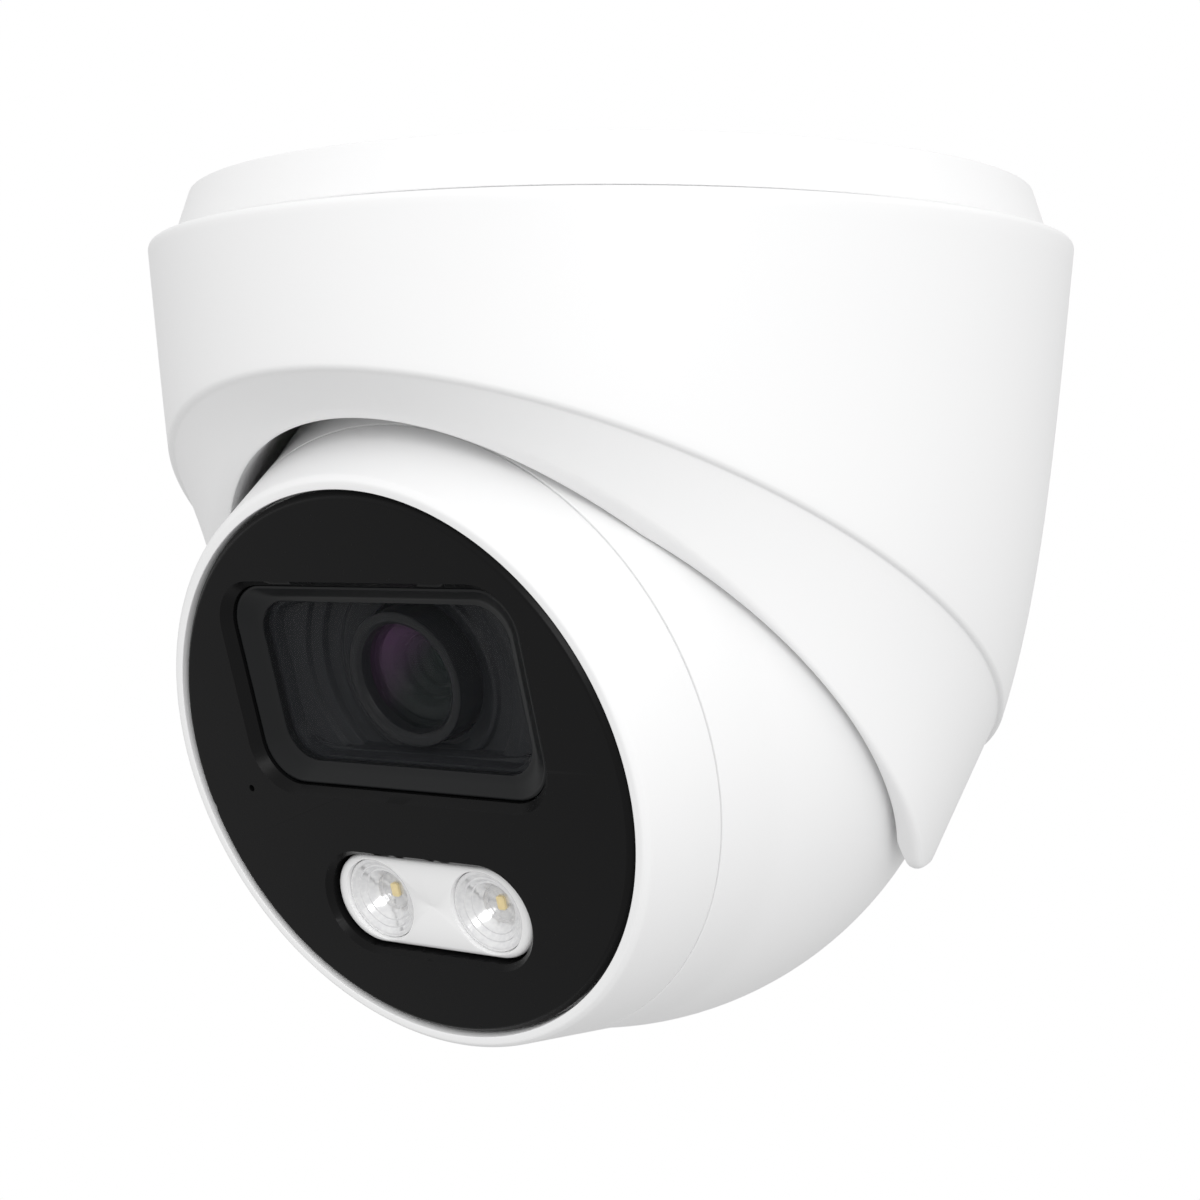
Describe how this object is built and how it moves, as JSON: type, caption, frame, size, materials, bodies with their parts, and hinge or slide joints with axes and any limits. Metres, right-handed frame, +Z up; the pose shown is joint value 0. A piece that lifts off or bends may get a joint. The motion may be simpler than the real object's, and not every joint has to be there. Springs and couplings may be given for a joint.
{
  "type": "security camera",
  "caption": "White ceiling-mounted turret security camera with a swivelling eyeball, black face, wide lens window and lamp slot.",
  "frame": {"origin": "centre of the mounting face, where the base meets the ceiling", "axes": "+Z up into the ceiling, -Y the heading of the lens, +X to the right of someone who faces the lens"},
  "size_m": [0.1218, 0.1218, 0.1094],
  "materials": {
    "white_shell": "satin, fine moulded texture",
    "white_tray": "satin",
    "black_face": "gloss",
    "dark_bezel": "satin",
    "dark_baffle": "matt",
    "black_metal": "satin black",
    "coated_glass": "polished, coated",
    "clear_lens": "polished",
    "phosphor": "matt",
    "rubber_seal": "matt",
    "grey_foam": "matt",
    "light_seal": "matt",
    "bare_aluminium": "satin",
    "steel": "zinc plated",
    "slide_plastic": "satin",
    "circuit_green": "solder mask",
    "chip_black": "matt",
    "sensor_glass": "polished",
    "copper_film": "satin film"
  },
  "bodies": {
    "base": {"mounting_base": "white_shell", "ceiling_gasket": "grey_foam", "cable_grommet": "rubber_seal", "rim_seal": "rubber_seal", "swivel_ring": "bare_aluminium", "swivel_ring_screws": "steel", "friction_washer": "slide_plastic"},
    "cover": {"outer_cover": "white_shell", "socket_liner": "slide_plastic", "cover_lock_screw": "steel", "swivel_hub": "slide_plastic", "carrier_plate": "slide_plastic", "hub_screws": "steel", "cover_screws": "steel", "tilt_guide": "slide_plastic", "guide_screws": "steel"},
    "tilt_carriage": {"tilt_shoe": "slide_plastic", "shoe_cap": "bare_aluminium", "shoe_retainer": "steel", "wave_spring": "steel"},
    "ball": {"rear_shell": "white_shell", "front_shell": "white_shell", "shell_seal": "light_seal", "shell_screws": "steel", "face_plate": "black_face", "face_seal": "rubber_seal", "lens_bezel": "dark_bezel", "lens_window": "clear_lens", "lens_baffle": "dark_baffle", "lens_barrel": "black_metal", "front_element": "coated_glass", "lens_spacer": "black_metal", "rear_element": "coated_glass", "lens_holder": "dark_baffle", "infrared_filter": "coated_glass", "image_sensor": "sensor_glass", "sensor_board": "circuit_green", "sensor_board_screws": "steel", "heat_sink": "bare_aluminium", "main_board": "circuit_green", "main_board_screws": "steel", "board_connectors": "chip_black", "ribbon_cable": "copper_film", "processor": "chip_black", "memory_card_socket": "steel", "reset_button": "chip_black", "led_tray": "white_tray", "led_lenses": "clear_lens", "led_board": "circuit_green", "thermal_pad": "grey_foam", "led_chips": "phosphor", "microphone": "chip_black"}
  },
  "joints": [
    {"name": "pan", "type": "hinge", "parent": "base", "child": "cover", "pos_m": [0, 0, -0.012], "axis": [0, 0, 1], "range_deg": [-177.5, 177.5]},
    {"name": "tilt", "type": "hinge", "parent": "cover", "child": "tilt_carriage", "pos_m": [0, -0.0038, -0.0604], "axis": [1, 0, 0], "range_deg": [-1.5, 57]},
    {"name": "rotate", "type": "hinge", "parent": "tilt_carriage", "child": "ball", "pos_m": [0, -0.0038, -0.0604], "axis": [0, -0.9521, -0.3057], "range_deg": [-180, 180]}
  ]
}
